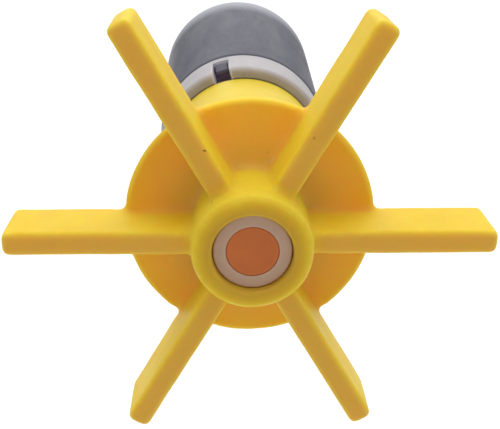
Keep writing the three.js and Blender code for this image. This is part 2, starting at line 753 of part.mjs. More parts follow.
group.add(
  piece('motor_can', motorCan(), LOOKS.zinc),
  piece('motor_front_bushing', rotorBush(FRONT_BEARING), LOOKS.bronze),
  piece('magnet_1', magnet(Math.PI / 2), LOOKS.magnet),
  piece('magnet_2', magnet(-Math.PI / 2), LOOKS.magnet),
  piece('rotor_shaft', rod(ROTOR_R, ROTOR_FRONT, ROTOR_REAR, SIDES_INNER), LOOKS.steel),
  piece('armature_core', armatureCore(), LOOKS.zinc),
  piece('commutator', commutator(), LOOKS.copper),
  piece('end_bell', endBell(), LOOKS.natural),
  piece('motor_rear_bushing', rotorBush(REAR_BEARING), LOOKS.bronze),
);

for (let pole = 0; pole < POLES; pole += 1) {
  group.add(piece(`winding_${pole + 1}`, winding((2 * Math.PI * pole) / POLES), LOOKS.copper));
}

[-1, 1].forEach((side, index) => {
  const number = index + 1;
  group.add(
    piece(`brush_${number}`, brush(side), LOOKS.carbon),
    piece(`brush_arm_${number}`, brushArm(side), LOOKS.copper),
    piece(`terminal_${number}`, terminal(side), LOOKS.brass),
    piece(`lead_${number}`, lead(side), side > 0 ? LOOKS.red : LOOKS.black),
  );
});

group.add(
  piece('capacitor', capacitor(), LOOKS.ceramic),
  piece('motor_cover', motorCover(), LOOKS.grey),
  piece('rear_cap', rearCap(), LOOKS.capGrey),
  piece('cord_gland', cordGland(), LOOKS.black),
);

screwPlaces().forEach(([x, z], index) => {
  const stem = screw(CAP_SCREW_HEAD_R, CAP_SCREW_R, CAP_SCREW_TOP, CAP_SCREW_END);
  const capScrew = piece(`cap_screw_${index + 1}`, stem, LOOKS.steel);
  capScrew.position.set(x, 0, z);
  group.add(capScrew);
});

export default group;
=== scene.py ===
"""Geared DC motor with a paddle wheel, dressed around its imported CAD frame.

The shaft axis lies along Y: the wheel faces -Y, the motor is towards +Y, and +Z is up.
Stations are millimetres along the axis, measured backwards from the wheel hub's front face.
"""
import json
import math

import bpy
import bmesh
import numpy as np
from mathutils import Euler, Matrix, Vector, noise


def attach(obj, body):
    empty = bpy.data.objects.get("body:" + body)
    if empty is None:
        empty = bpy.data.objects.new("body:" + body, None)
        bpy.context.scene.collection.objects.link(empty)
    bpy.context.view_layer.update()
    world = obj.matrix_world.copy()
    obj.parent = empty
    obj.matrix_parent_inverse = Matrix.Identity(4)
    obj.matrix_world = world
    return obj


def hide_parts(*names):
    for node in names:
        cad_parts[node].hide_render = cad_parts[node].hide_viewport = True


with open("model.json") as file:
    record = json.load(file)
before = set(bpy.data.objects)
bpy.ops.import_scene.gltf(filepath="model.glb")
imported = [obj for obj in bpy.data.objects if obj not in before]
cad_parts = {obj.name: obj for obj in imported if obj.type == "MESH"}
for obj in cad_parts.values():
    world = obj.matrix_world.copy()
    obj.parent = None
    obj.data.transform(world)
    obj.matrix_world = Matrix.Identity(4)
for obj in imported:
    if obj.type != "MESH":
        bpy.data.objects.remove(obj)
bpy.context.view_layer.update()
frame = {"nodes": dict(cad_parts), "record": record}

MM = 0.001
ORIGIN_STATION = 70.0
TAU = 2 * math.pi

# ---- colours (scene-linear) --------------------------------------------------

YELLOW = (0.87, 0.645, 0.042)
YELLOW_DEEP = (0.83, 0.580, 0.034)
NOSE = (0.84, 0.625, 0.050)
NOSE_DEEP = (0.79, 0.560, 0.040)
WHITE = (0.44, 0.415, 0.425)
WHITE_DEEP = (0.39, 0.365, 0.375)
# Painted shade and bounce light: the sleeve's white plastic given a darker warm tan, for the shade and
# yellow bounce light it sits in.
SLEEVE_SHADED_TAN = (0.68, 0.45, 0.310)
SLEEVE_SHADED_TAN_DEEP = (0.60, 0.39, 0.270)
AMBER = (0.74, 0.200, 0.046)
AMBER_DEEP = (0.64, 0.160, 0.036)
GREY = (0.070, 0.069, 0.098)
GREY_DEEP = (0.060, 0.059, 0.086)
CAP_GREY = (0.24, 0.24, 0.27)
CAP_GREY_DEEP = (0.20, 0.20, 0.23)
RUBBER = (0.020, 0.020, 0.022)
RUBBER_DEEP = (0.012, 0.012, 0.014)
# Painted bounce light on the disc's front face.
PAINTED_BOUNCE_ORANGE = (1.0, 0.59, 0.13)
# Painted shade on the blades' front faces.
PAINTED_FRONT_SHADE_ORANGE = (0.82, 0.525, 0.085)
MOUTH_BROWN = (0.52, 0.26, 0.05)
NICK = (0.16, 0.09, 0.02)
SCRATCH = (0.95, 0.74, 0.45)
# Painted highlight: the pale band at the motor cover's rear end.
PAINTED_RIM_HIGHLIGHT = (0.50, 0.50, 0.56)
# Rubbed edges of the grey cover: real wear, made light enough to also paint a highlight along the cover's
# rounded edges.
RUBBED_GREY_AND_HIGHLIGHT = (0.24, 0.24, 0.28)

# How far red, green and blue light travel inside a plastic, as shares of the depth in millimetres.
GLOW_DEPTH = 3.0
WARM_SPREAD = (1.0, 0.35, 0.05)
PALE_SPREAD = (1.0, 0.85, 0.70)


def place(station):
    return (station - ORIGIN_STATION) * MM


# ---- materials ---------------------------------------------------------------

class Nodes:
    """A material's node tree with short helpers."""

    def __init__(self, name):
        self.material = bpy.data.materials.new(name)
        self.material.use_nodes = True
        self.tree = self.material.node_tree
        self.shader = self.tree.nodes["Principled BSDF"]
        self.object = self.add("ShaderNodeTexCoord").outputs["Object"]
        self.edge = self.add("ShaderNodeAttribute", attribute_name="edge").outputs["Fac"]

    def add(self, kind, **values):
        node = self.tree.nodes.new(kind)
        for key, value in values.items():
            setattr(node, key, value)
        return node

    def link(self, source, target):
        self.tree.links.new(source, target)

    def noise(self, scale, detail=3.0, roughness=0.55, distortion=0.0, stretch=None):
        node = self.add("ShaderNodeTexNoise")
        node.inputs["Scale"].default_value = scale
        node.inputs["Detail"].default_value = detail
        node.inputs["Roughness"].default_value = roughness
        node.inputs["Distortion"].default_value = distortion
        vector = self.object
        if stretch:
            mapping = self.add("ShaderNodeMapping")
            mapping.inputs["Scale"].default_value = stretch
            self.link(vector, mapping.inputs["Vector"])
            vector = mapping.outputs["Vector"]
        self.link(vector, node.inputs["Vector"])
        return node.outputs["Fac"]

    def ramp(self, value, low, high, out_low=0.0, out_high=1.0):
        node = self.add("ShaderNodeMapRange")
        node.inputs["From Min"].default_value = low
        node.inputs["From Max"].default_value = high
        node.inputs["To Min"].default_value = out_low
        node.inputs["To Max"].default_value = out_high
        self.link(value, node.inputs["Value"])
        return node.outputs["Result"]

    def blend(self, factor, first, second):
        node = self.add("ShaderNodeMix", data_type="RGBA")
        self.link(factor, node.inputs["Factor"])
        for value, socket in ((first, node.inputs[6]), (second, node.inputs[7])):
            if isinstance(value, tuple):
                socket.default_value = (*value, 1.0)
            else:
                self.link(value, socket)
        return node.outputs[2]

    def bumps(self, layers):
        """Stack of (height, strength, distance in millimetres) bumps."""
        normal = None
        for height, strength, distance in layers:
            node = self.add("ShaderNodeBump")
            node.inputs["Strength"].default_value = strength
            node.inputs["Distance"].default_value = distance * MM
            self.link(height, node.inputs["Height"])
            if normal:
                self.link(normal, node.inputs["Normal"])
            normal = node.outputs["Normal"]
        self.link(normal, self.shader.inputs["Normal"])

    def total(self, first, second, operation="ADD"):
        node = self.add("ShaderNodeMath", operation=operation)
        self.link(first, node.inputs[0])
        self.link(second, node.inputs[1])
        return node.outputs[0]

    def worn(self, low, high, most):
        """Rubbed patches: strongest on outer edges whose bend is high, broken up by noise."""
        patchy = self.ramp(self.noise(700, 4, 0.7), 0.25, 0.75, -0.25, 0.25)
        return self.ramp(self.total(self.edge, patchy), low, high, 0.0, most)

    def station(self):
        split = self.add("ShaderNodeSeparateXYZ")
        self.link(self.object, split.inputs["Vector"])
        return split.outputs["Y"]

    def radius(self):
        """Distance from the shaft axis."""
        across = self.add("ShaderNodeVectorMath", operation="MULTIPLY")
        across.inputs[1].default_value = (1.0, 0.0, 1.0)
        self.link(self.object, across.inputs[0])
        length = self.add("ShaderNodeVectorMath", operation="LENGTH")
        self.link(across.outputs["Vector"], length.inputs[0])
        return length.outputs["Value"]

    def mark(self, middle, tilt, reach):
        """Small elongated spot at an (x, station, z) place, tilted about the axis; millimetres."""
        x, station, z = middle
        local = self.add("ShaderNodeMapping", vector_type="TEXTURE")
        local.inputs["Location"].default_value = (x * MM, place(station), z * MM)
        local.inputs["Rotation"].default_value = (0.0, math.radians(tilt), 0.0)
        local.inputs["Scale"].default_value = [size * MM for size in reach]
        self.link(self.object, local.inputs["Vector"])
        away = self.add("ShaderNodeVectorMath", operation="LENGTH")
        self.link(local.outputs["Vector"], away.inputs[0])
        return self.ramp(away.outputs["Value"], 1.0, 0.5, 0.0, 0.85)

    def specks(self, scale, size):
        """Sparse dots: one where a cell's middle is close, zero elsewhere."""
        cells = self.add("ShaderNodeTexVoronoi")
        cells.inputs["Scale"].default_value = scale
        cells.inputs["Randomness"].default_value = 1.0
        self.link(self.object, cells.inputs["Vector"])
        near = self.ramp(cells.outputs["Distance"], size, size * 0.5)
        pick = self.add("ShaderNodeSeparateColor")
        self.link(cells.outputs["Color"], pick.inputs["Color"])
        chosen = self.ramp(pick.outputs["Red"], 0.86, 0.90)
        return self.total(near, chosen, "MULTIPLY")


def wheel_marks_and_painted_light(n, base):
    """Painted orange bounce light on the disc, painted orange shade on the blade fronts, a darker brown
    band round the shaft's mouth, a nick, a scratch.
    """
    # Painted bounce light: the disc's front face turned orange, more so towards the hub.
    inwards = n.ramp(n.radius(), 16.3 * MM, 8.5 * MM, 0.10, 0.95)
    flange = n.ramp(n.station(), place(8.6), place(10.1))
    base = n.blend(n.total(inwards, flange, "MULTIPLY"), base, PAINTED_BOUNCE_ORANGE)
    # Painted shade: the blades' front faces turned a darker orange than their lit sides.
    outside = n.ramp(n.radius(), 7.6 * MM, 8.6 * MM)
    blade_front = n.ramp(n.station(), place(3.6), place(3.15), 0.0, 0.9)
    base = n.blend(n.total(outside, blade_front, "MULTIPLY"), base, PAINTED_FRONT_SHADE_ORANGE)
    # Darker brown band on the hub's front face round the shaft's mouth, patchy and fading outwards.
    near = n.ramp(n.radius(), 6.7 * MM, 4.8 * MM, 0.0, 0.75)
    front = n.ramp(n.station(), place(2.2), place(0.6))
    uneven = n.ramp(n.noise(260, 3, 0.6), 0.2, 0.8, 0.7, 1.0)
    mouth_band = n.total(n.total(near, front, "MULTIPLY"), uneven, "MULTIPLY")
    base = n.blend(mouth_band, base, MOUTH_BROWN)
    nick = n.mark((-5.55, 3.1, 11.8), 20, (0.32, 0.6, 0.14))
    base = n.blend(nick, base, NICK)
    scratch = n.mark((2.6, 10.2, 8.3), 25, (0.09, 0.6, 0.75))
    return n.blend(scratch, base, SCRATCH)


def painted_rear_highlight(n, base):
    """Painted highlight: a pale band round the rear end of the motor cover, its front edge wandering with
    noise.
    """
    wander = n.ramp(n.noise(55, 3, 0.6), 0.2, 0.8, -1.0 * MM, 1.0 * MM)
    band = n.ramp(n.total(n.station(), wander), place(84.0), place(94.5), 0.0, 0.9)
    return n.blend(band, base, PAINTED_RIM_HIGHLIGHT)


def moulded(name, colour, deep, roughness, grain=0.10, gloss=0.5, glow=0.0, spread=WARM_SPREAD,
             scuff=0.5, rubbed=None, marks_and_painted_light=None):
    """Injection-moulded plastic: cloudy colour, fine grain, painted shade in inner corners, rubbed edges
    and a few specks.
    """
    n = Nodes(name)
    cloud = n.ramp(n.noise(140, 4, 0.6), 0.35, 0.70)
    base = n.blend(cloud, colour, deep)
    # Painted shade: inner corners, where the bend is negative, darkened towards a more orange deep tone.
    corner_shade = n.ramp(n.edge, -0.12, -0.60, 0.0, 0.35)
    base = n.blend(corner_shade, base, (deep[0] * 0.95, deep[1] * 0.6, deep[2] * 1.4))
    worn = n.worn(0.32, 0.80, scuff)
    base = n.blend(worn, base, rubbed or tuple(min(1.0, c * 1.15 + 0.03) for c in colour))
    # Extra marks, together with painted light and shade, laid over the base colour.
    if marks_and_painted_light:
        base = marks_and_painted_light(n, base)
    dust = n.specks(420, 0.10)
    base = n.blend(n.ramp(dust, 0.0, 1.0, 0.0, 0.5), base, tuple(c * 0.45 for c in deep))
    n.link(base, n.shader.inputs["Base Color"])
    rub = n.noise(260, 5, 0.65, 0.6, stretch=(1.0, 0.25, 1.0))
    sheen = n.ramp(rub, 0.3, 0.75, roughness - 0.07, roughness + 0.09)
    n.link(n.total(sheen, n.ramp(worn, 0.0, 1.0, 0.0, 0.12)), n.shader.inputs["Roughness"])
    n.shader.inputs["Specular IOR Level"].default_value = gloss
    if glow:
        n.shader.inputs["Subsurface Weight"].default_value = glow
        n.shader.inputs["Subsurface Radius"].default_value = spread
        n.shader.inputs["Subsurface Scale"].default_value = GLOW_DEPTH * MM
    n.bumps([
        (n.noise(90, 2, 0.5), 0.05, 0.25),
        (n.noise(2600, 3, 0.6), grain, 0.05),
        (n.noise(700, 2, 0.5, 0.8, stretch=(1.0, 0.2, 1.0)), grain * 0.5, 0.04),
    ])
    return n.material


def metal(name, colour, deep, roughness, brushed=(1.0, 1.0, 0.12)):
    """Machined metal with fine tool marks and slight tarnish."""
    n = Nodes(name)
    tarnish = n.ramp(n.noise(320, 4, 0.6), 0.4, 0.75)
    base = n.blend(tarnish, colour, deep)
    bright = tuple(c + (1.0 - c) * 0.35 for c in colour)
    n.link(n.blend(n.worn(0.30, 0.90, 0.7), base, bright), n.shader.inputs["Base Color"])
    n.shader.inputs["Metallic"].default_value = 1.0
    marks = n.noise(1800, 3, 0.6, stretch=brushed)
    n.link(n.ramp(marks, 0.2, 0.8, roughness - 0.08, roughness + 0.14), n.shader.inputs["Roughness"])
    n.bumps([(marks, 0.12, 0.03)])
    return n.material


def dull(name, colour, deep, roughness, grain=0.35):
    """Sintered, pressed or rubbery matter with a coarse dull grain."""
    n = Nodes(name)
    base = n.blend(n.ramp(n.noise(500, 5, 0.7), 0.3, 0.7), colour, deep)
    dusty = tuple(c + 0.06 for c in colour)
    n.link(n.blend(n.worn(0.30, 0.90, 0.5), base, dusty), n.shader.inputs["Base Color"])
    chalky = n.ramp(n.noise(900, 2), 0.3, 0.7, roughness - 0.08, roughness + 0.08)
    n.link(chalky, n.shader.inputs["Roughness"])
    n.bumps([(n.noise(1600, 4, 0.7), grain, 0.06)])
    return n.material


LOOKS = {
    "yellow": moulded("wheel_plastic", YELLOW, YELLOW_DEEP, 0.50, gloss=0.12, glow=0.8,
                      marks_and_painted_light=wheel_marks_and_painted_light),
    "nose": moulded("nose_plastic", NOSE, NOSE_DEEP, 0.42, gloss=0.12, glow=0.25),
    "white": moulded("white_plastic", WHITE, WHITE_DEEP, 0.46, glow=0.7, spread=PALE_SPREAD),
    "sleeve": moulded("sleeve_plastic", SLEEVE_SHADED_TAN, SLEEVE_SHADED_TAN_DEEP, 0.46, glow=0.10, scuff=0.15),
    "amber": moulded("amber_plastic", AMBER, AMBER_DEEP, 0.50, gloss=0.3, scuff=0.12),
    "grey": moulded("grey_plastic", GREY, GREY_DEEP, 0.40, gloss=0.15, rubbed=RUBBED_GREY_AND_HIGHLIGHT,
                    marks_and_painted_light=painted_rear_highlight),
    "cap_grey": moulded("cap_grey_plastic", CAP_GREY, CAP_GREY_DEEP, 0.45, grain=0.20),
    "natural": moulded("natural_plastic", (0.60, 0.55, 0.44), (0.52, 0.46, 0.35), 0.45),
    "black_wire": moulded("black_insulation", (0.02, 0.02, 0.02), (0.012, 0.012, 0.012), 0.40),
    "red_wire": moulded("red_insulation", (0.42, 0.02, 0.015), (0.34, 0.015, 0.01), 0.40),
    "ceramic_tan": moulded("dipped_ceramic", (0.50, 0.20, 0.04), (0.42, 0.15, 0.03), 0.25),
    "black_rubber": dull("black_rubber", RUBBER, RUBBER_DEEP, 0.68),
    "carbon": dull("carbon", (0.03, 0.03, 0.03), (0.015, 0.015, 0.016), 0.60),
    "magnet": dull("ferrite", (0.05, 0.05, 0.055), (0.03, 0.03, 0.032), 0.62),
    "bronze": metal("sintered_bronze", (0.52, 0.31, 0.13), (0.40, 0.22, 0.09), 0.40),
    "brass": metal("brass", (0.72, 0.52, 0.20), (0.60, 0.40, 0.13), 0.28),
    "copper": metal("enamelled_copper", (0.62, 0.24, 0.11), (0.48, 0.16, 0.07), 0.32),
    "steel": metal("steel", (0.62, 0.63, 0.65), (0.50, 0.51, 0.53), 0.28),
    "zinc": metal("zinc_plate", (0.55, 0.56, 0.58), (0.44, 0.45, 0.48), 0.36),
}


# ---- mesh helpers ------------------------------------------------------------

def fillet(corner, before, after, radius, steps):
    """Points of an arc that rounds a corner of an outline."""
    corner, before, after = Vector(corner), Vector(before), Vector(after)
    one = (before - corner).normalized()
    two = (after - corner).normalized()
    half = math.acos(max(-1.0, min(1.0, one.dot(two)))) / 2
    reach = min(radius / math.tan(half), (before - corner).length * 0.49, (after - corner).length * 0.49)
    radius = reach * math.tan(half)
    centre = corner + (one + two).normalized() * (radius / math.sin(half))
    start = corner + one * reach - centre
    sweep = start.angle_signed(corner + two * reach - centre)
    points = []
    for step in range(steps + 1):
        angle = -sweep * step / steps
        turned = Vector((
            start.x * math.cos(angle) - start.y * math.sin(angle),
            start.x * math.sin(angle) + start.y * math.cos(angle),
        ))
        points.append(tuple(centre + turned))
    return points


def beside(point, corner, far):
    """Point just outside a fillet on a long straight side, or nothing on a short one."""
    side = Vector(far) - Vector(corner)
    left = Vector(far) - Vector(point)
    if side.length < 1.5 or left.length < side.length * 0.6:
        return []
    return [tuple(Vector(point) + side.normalized() * 0.3)]


def rounded(corners, steps=5):
    """Closed outline from (radius, station, fillet) corners."""
    points = []
    for index, (radius, station, edge) in enumerate(corners):
        if not edge:
            points.append((radius, station))
            continue
        corner = (radius, station)
        before = corners[index - 1][:2]
        after = corners[(index + 1) % len(corners)][:2]
        arc = fillet(corner, before, after, edge, steps)
        points += beside(arc[0], corner, before) + arc + beside(arc[-1], corner, after)
    return points


def even_angles(count):
    return [TAU * index / count for index in range(count)]


def swept(name, points, angles, radius_at=None):
    """Closed solid from an outline of (radius, station) carried round the axis."""
    bm = bmesh.new()
    rings = []
    for angle in angles:
        ring = []
        for index, (radius, station) in enumerate(points):
            r = radius_at(index, angle, radius, station) if radius_at else radius
            ring.append(bm.verts.new((r * MM * math.cos(angle), place(station), r * MM * math.sin(angle))))
        rings.append(ring)
    count = len(points)
    for turn, ring in enumerate(rings):
        following = rings[(turn + 1) % len(rings)]
        for index in range(count):
            after = (index + 1) % count
            if points[index][0] == 0 and points[after][0] == 0:
                continue
            bm.faces.new((ring[index], ring[after], following[after], following[index]))
    bmesh.ops.remove_doubles(bm, verts=bm.verts, dist=1e-7)
    bmesh.ops.dissolve_degenerate(bm, edges=bm.edges, dist=1e-8)
    bmesh.ops.recalc_face_normals(bm, faces=bm.faces)
    return to_object(name, bm)


def to_object(name, bm):
    mesh = bpy.data.meshes.new(name)
    bm.to_mesh(mesh)
    bm.free()
    obj = bpy.data.objects.new(name, mesh)
    bpy.context.collection.objects.link(obj)
    return obj


class Surface:
    """A mesh's points, normals and edges as arrays, for measuring and smoothing."""

    def __init__(self, mesh):
        self.mesh = mesh
        self.count = len(mesh.vertices)
        self.points = np.empty((self.count, 3), dtype=np.float32)
        mesh.vertices.foreach_get("co", self.points.ravel())
        self.normals = np.empty((self.count, 3), dtype=np.float32)
        mesh.vertex_normals.foreach_get("vector", self.normals.ravel())
        ends = np.empty(len(mesh.edges) * 2, dtype=np.int32)
        mesh.edges.foreach_get("vertices", ends)
        self.first, self.second = ends[0::2], ends[1::2]
        hits = np.bincount(ends, minlength=self.count)
        self.hits = np.maximum(hits, 1)

    def around(self, values):
        """Mean of each vertex's neighbours."""
        there = np.bincount(self.first, values[self.second], self.count)
        back = np.bincount(self.second, values[self.first], self.count)
        return (there + back) / self.hits

    def bend(self, rounds):
        """Curvature in 1/mm: positive on outer edges, negative in inner corners."""
        step = self.points[self.second] - self.points[self.first]
        turn = self.normals[self.second] - self.normals[self.first]
        length = np.maximum(np.einsum("ij,ij->i", step, step), 1e-14)
        along = np.einsum("ij,ij->i", turn, step) / length * MM
        shares = np.bincount(self.first, along, self.count) + np.bincount(self.second, along, self.count)
        values = shares / self.hits
        for _ in range(rounds):
            values = (values + self.around(values)) / 2
        return values

    def widened(self, mask, rounds):
        """Mask of 0 to 1 that fades out over a number of edges."""
        values = mask.astype(float)
        for _ in range(rounds):
            grown = values.copy()
            np.maximum.at(grown, self.first, values[self.second] - 1.0 / rounds)
            np.maximum.at(grown, self.second, values[self.first] - 1.0 / rounds)
            values = grown
        return values

    def relax(self, weights, rounds):
        for _ in range(rounds):
            for axis in range(3):
                values = self.points[:, axis]
                self.points[:, axis] += 0.5 * weights * (self.around(values) - values)

    def store(self):
        self.mesh.vertices.foreach_set("co", self.points.ravel())
        self.mesh.update()


def mark_edges(mesh, rounds):
    """Keep the bend of the surface on the vertices, where the materials read it."""
    values = Surface(mesh).bend(rounds).astype(np.float32)
    mesh.attributes.new("edge", "FLOAT", "POINT").data.foreach_set("value", values)


def finish_piece(obj, node, body, slot, sharp=35, rounds=0, look=None):
    """Material, shading, body and CAD node of a finished piece."""
    obj.data.materials.clear()
    obj.data.materials.append(LOOKS[look or slot])
    bm = bmesh.new()
    bm.from_mesh(obj.data)
    limit = math.radians(sharp)
    for edge in bm.edges:
        edge.smooth = edge.is_manifold and edge.calc_face_angle(0.0) < limit
    for face in bm.faces:
        face.smooth = True
    bm.to_mesh(obj.data)
    bm.free()
    mark_edges(obj.data, rounds)
    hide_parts(node)
    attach(obj, body)
    return obj


def apply_modifiers(obj):
    depsgraph = bpy.context.evaluated_depsgraph_get()
    mesh = bpy.data.meshes.new_from_object(obj.evaluated_get(depsgraph))
    obj.modifiers.clear()
    obj.data = mesh


def turned_to(angle):
    """Map from (outwards, station, sideways) millimetres at an angle to the frame's metres."""
    def turn(point):
        outwards, station, sideways = point
        return Vector((
            (outwards * math.cos(angle) - sideways * math.sin(angle)) * MM,
            place(station),
            (outwards * math.sin(angle) + sideways * math.cos(angle)) * MM,
        ))
    return turn


def rounded_block(name, low, high, radius, angle):
    """Box with rounded edges, given in (outwards, station, sideways) corners at an angle."""
    bm = bmesh.new()
    bmesh.ops.create_cube(bm, size=2.0)
    bmesh.ops.subdivide_edges(bm, edges=bm.edges, cuts=6, use_grid_fill=True)
    middle = (Vector(low) + Vector(high)) / 2
    core = (Vector(high) - Vector(low)) / 2 - Vector((radius, radius, radius))
    turn = turned_to(angle)
    for vert in bm.verts:
        inner = Vector(math.copysign(core[axis], vert.co[axis]) for axis in range(3))
        vert.co = turn(middle + inner + vert.co.normalized() * radius)
    bmesh.ops.recalc_face_normals(bm, faces=bm.faces)
    return to_object(name, bm)


def fused(name, parts):
    """One object holding the meshes of several."""
    bm = bmesh.new()
    for part in parts:
        bm.from_mesh(part.data)
        bpy.data.objects.remove(part)
    return to_object(name, bm)


def carve(obj, tools):
    """Cut the tools' solids out of a piece and take the tools away."""
    for tool in tools:
        cut = obj.modifiers.new("cut", "BOOLEAN")
        cut.operation = "DIFFERENCE"
        cut.solver = "EXACT"
        cut.object = tool
    apply_modifiers(obj)
    for tool in tools:
        bpy.data.objects.remove(tool)


# ---- paddle wheel ------------------------------------------------------------

TIP_R = 30.15
BLADES = 6
BLADE_HALF = 1.53
BLADE_FRONT = 3.1
WHEEL_REAR = 11.9
HUB_R = 7.35
HUB_BORE_R = 4.86
DISC_R = 16.02
DISC_FRONT = 10.2
BLADE_EDGE = 0.9
VOXEL = 0.20
INNER_CORNER = -0.15
WAVE_HEIGHT = 0.05
WAVE_LENGTH = 4.0


def soften(mesh):
    """Smooth the whole moulding a little and its inner corners a lot, then make it slightly wavy."""
    surface = Surface(mesh)
    corners = surface.widened(surface.bend(3) < INNER_CORNER, 8)
    surface.relax(np.ones(surface.count), 6)
    surface.relax(corners, 50)
    for index, normal in enumerate(surface.normals):
        at = Vector(surface.points[index]) / (WAVE_LENGTH * MM)
        surface.points[index] += normal * (noise.noise(at) * WAVE_HEIGHT * MM)
    surface.store()


def paddle_wheel():
    hub = swept("hub", rounded([
        (HUB_BORE_R, 0.0, 0.2), (HUB_R, 0.0, 1.95), (HUB_R, WHEEL_REAR, 0.3),
        (HUB_BORE_R, WHEEL_REAR, 0.2),
    ], steps=10), even_angles(160))
    disc = swept("disc", rounded([
        (HUB_BORE_R + 0.3, DISC_FRONT, 0), (DISC_R, DISC_FRONT, 0.5), (DISC_R, WHEEL_REAR, 0.4),
        (HUB_BORE_R + 0.3, WHEEL_REAR, 0),
    ]), even_angles(200))
    low = (HUB_BORE_R + 0.6, BLADE_FRONT, -BLADE_HALF)
    high = (TIP_R, WHEEL_REAR, BLADE_HALF)
    blades = [rounded_block("blade", low, high, BLADE_EDGE, angle) for angle in even_angles(BLADES)]
    wheel = fused("paddle_wheel_moulding", [hub, disc, *blades])
    remesh = wheel.modifiers.new("remesh", "REMESH")
    remesh.mode = "VOXEL"
    remesh.voxel_size = VOXEL * MM
    apply_modifiers(wheel)
    soften(wheel.data)
    thin = wheel.modifiers.new("thin", "DECIMATE")
    thin.ratio = 0.45
    apply_modifiers(wheel)
    finish_piece(wheel, "paddle_wheel", "output", "yellow", sharp=80, rounds=2)


# ---- shaft sleeve, spindle and nose -------------------------------------------

PINS = 3
ORBIT_R = 5.4
PIN_HOLE_R = 1.05
SPINDLE_FRONT = 1.05
SPINDLE_R = 3.05
SPINDLE_HEAD_R = 3.16
CARRIER_R = 7.6
CARRIER_FRONT = 28.5
CARRIER_REAR = 30.3
SHAFT_R = 4.75
SHAFT_BORE_R = 3.2
SHAFT_FRONT = 1.0
SHAFT_REAR = 28.2
GROOVE_R = 4.2
GROOVE_FRONT = 26.8
GROOVE_REAR = 27.8
NOSE_R = 11.7
NOSE_BORE_R = 10.4
NOSE_FRONT = 12.8
NOSE_REAR = 39.2
MOUTH_R = 5.25
MOUTH_REAR = 13.25
SEAT_R = 6.6
FRONT_SEAT_REAR = 17.7
REAR_SEAT_FRONT = 22.1
POCKET_R = 9.8
CLIP_POCKET_R = 8.1
CLIP_POCKET_FRONT = 26.7
CLIP_POCKET_REAR = 28.4


def rod_tool(radius, front, rear, outwards, angle):
    """Round cutter parallel to the axis, its middle at a distance and an angle."""
    tool = swept("rod_tool", [(0, front), (radius, front), (radius, rear), (0, rear)], even_angles(32))
    shift = Vector((outwards * MM * math.cos(angle), 0, outwards * MM * math.sin(angle)))
    tool.data.transform(Matrix.Translation(shift))
    return tool


def spindle():
    """Amber spindle, flared a little at its mouth, with the planets' plate behind it."""
    outline = rounded([
        (0, SPINDLE_FRONT, 0), (SPINDLE_HEAD_R, SPINDLE_FRONT, 0.15), (SPINDLE_R, CARRIER_FRONT, 0),
        (CARRIER_R, CARRIER_FRONT, 0.2), (CARRIER_R, CARRIER_REAR, 0.2), (0, CARRIER_REAR, 0),
    ])
    piece = swept("amber_spindle", outline, even_angles(96))
    carve(piece, [rod_tool(PIN_HOLE_R, 28.0, 32.0, ORBIT_R, angle) for angle in even_angles(PINS)])
    finish_piece(piece, "output_carrier", "output", "amber")


def shaft_sleeve():
    """Hollow shaft with the clip's groove near its rear end."""
    outline = rounded([
        (SHAFT_BORE_R, SHAFT_FRONT, 0.08), (SHAFT_R, SHAFT_FRONT, 0.25),
        (SHAFT_R, GROOVE_FRONT, 0), (GROOVE_R, GROOVE_FRONT, 0),
        (GROOVE_R, GROOVE_REAR, 0), (SHAFT_R, GROOVE_REAR, 0),
        (SHAFT_R, SHAFT_REAR, 0.2), (SHAFT_BORE_R, SHAFT_REAR, 0),
    ])
    sleeve = swept("shaft_sleeve", outline, even_angles(96))
    finish_piece(sleeve, "output_shaft", "output", "sleeve")


def nose():
    """Round nose with seats for two bushings and a pocket for the shaft's clip."""
    outline = rounded([
        (MOUTH_R, NOSE_FRONT, 0.3), (NOSE_R, NOSE_FRONT, 0.8),
        (NOSE_R, NOSE_REAR, 0.25), (NOSE_BORE_R, NOSE_REAR, 0.2),
        (NOSE_BORE_R, CLIP_POCKET_REAR, 0), (CLIP_POCKET_R, CLIP_POCKET_REAR, 0),
        (CLIP_POCKET_R, CLIP_POCKET_FRONT, 0), (SEAT_R, CLIP_POCKET_FRONT, 0),
        (SEAT_R, REAR_SEAT_FRONT, 0), (POCKET_R, REAR_SEAT_FRONT, 0),
        (POCKET_R, FRONT_SEAT_REAR, 0), (SEAT_R, FRONT_SEAT_REAR, 0),
        (SEAT_R, MOUTH_REAR, 0), (MOUTH_R, MOUTH_REAR, 0),
    ])
    piece = swept("nose_moulding", outline, even_angles(144))
    finish_piece(piece, "gearbox_nose", "housing", "yellow", look="nose")


# ---- ring gear housing ---------------------------------------------------------

RING_TEETH = 42
TOOTH_TIP_R = 8.08
TOOTH_ROOT_R = 8.86
RING_R = 13.45
RING_FRONT = 39.2
RING_REAR = 48.0
SPIGOT_R = 10.1
SPIGOT_FRONT = 28.9
NOSE_SEAT_R = 11.8
NOSE_SEAT = 39.5
PLATE_ROOM_R = 11.1
PLATE_ROOM = 45.6
HEAD_ROOM_R = 9.6
TEETH_REAR = 43.6
SLOT_ANGLE = math.radians(106)
SLOT_HALF = 1.3
SLOT_FLOOR_R = 11.6
SLOT_END = 45.8
PIT_FLOOR_R = 10.5
PIT_END = 44.8
BRIDGE_R = 13.1
RING_TURN = math.radians(4.2857142857)


def tooth_radius(angle):
    """Radius of the toothed bore at an angle: straight-sided teeth."""
    pitch = TAU / RING_TEETH
    offset = abs(((angle - RING_TURN + pitch / 2) % pitch) - pitch / 2) / pitch
    share = min(1.0, max(0.0, (offset - 0.10) / 0.19))
    return TOOTH_TIP_R + (TOOTH_ROOT_R - TOOTH_TIP_R) * share


def slot_tool(name, low, high, front, rear, edge):
    """Block that cuts the window's width out between two radii and two stations."""
    return rounded_block(name, (low, front, -SLOT_HALF), (high, rear, SLOT_HALF), edge, SLOT_ANGLE)


